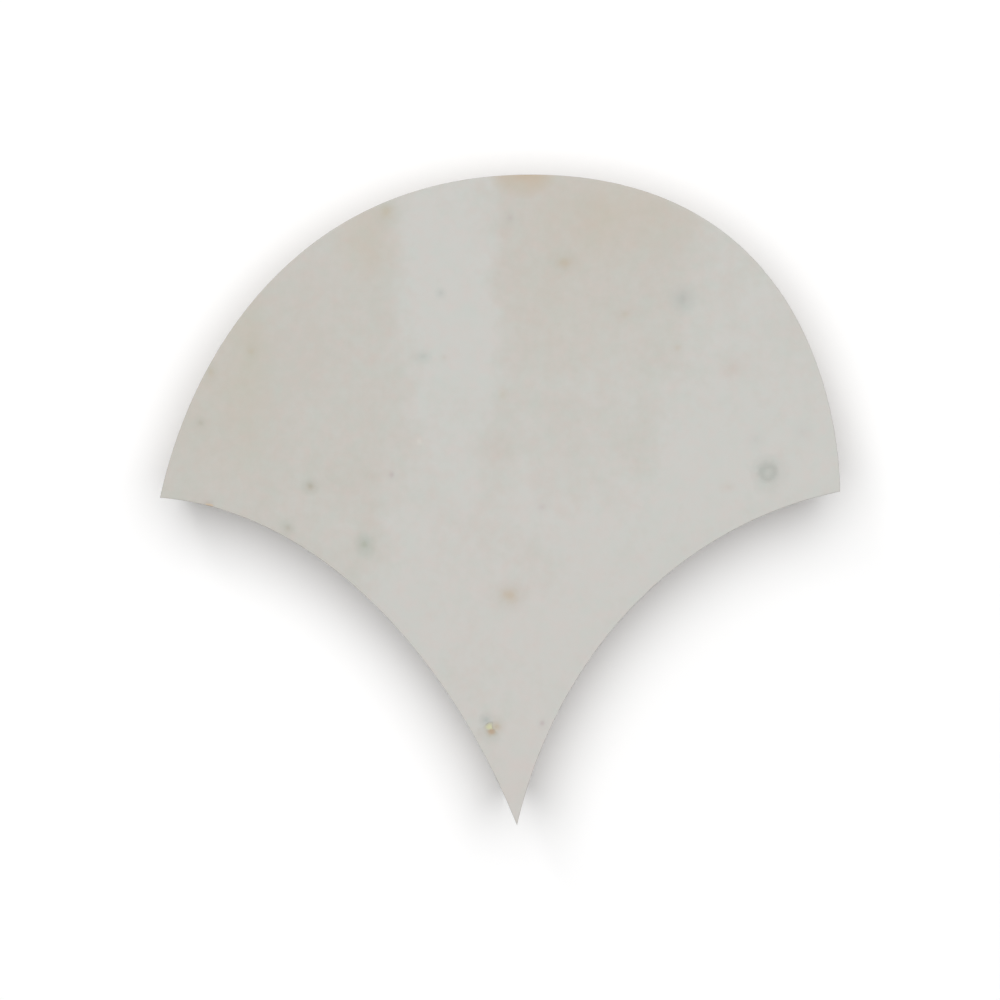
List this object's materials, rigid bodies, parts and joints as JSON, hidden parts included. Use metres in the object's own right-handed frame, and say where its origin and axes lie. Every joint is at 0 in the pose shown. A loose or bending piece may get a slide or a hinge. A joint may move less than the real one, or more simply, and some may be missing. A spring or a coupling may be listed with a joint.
{
  "type": "fish scale tile",
  "caption": "Flat glazed terracotta fish scale tile with a domed crown, hollow flanks meeting in a pointed tip, and a cut edge that tapers in towards its flat bed.",
  "frame": {"origin": "middle of the tile's overall width and height, on the flat bed that it rests on", "axes": "+X across the scale to the right as seen from the glazed face, +Y from the tip to the crown, +Z out of the glazed face"},
  "size_m": [0.1, 0.0958, 0.012],
  "materials": {
    "glazed_terracotta": "glossy opaque off-white glaze with pits and stains on the face, bare fired clay on the cut edge and bed"
  },
  "bodies": {
    "root": {"fish_scale_tile": "glazed_terracotta"}
  },
  "joints": []
}
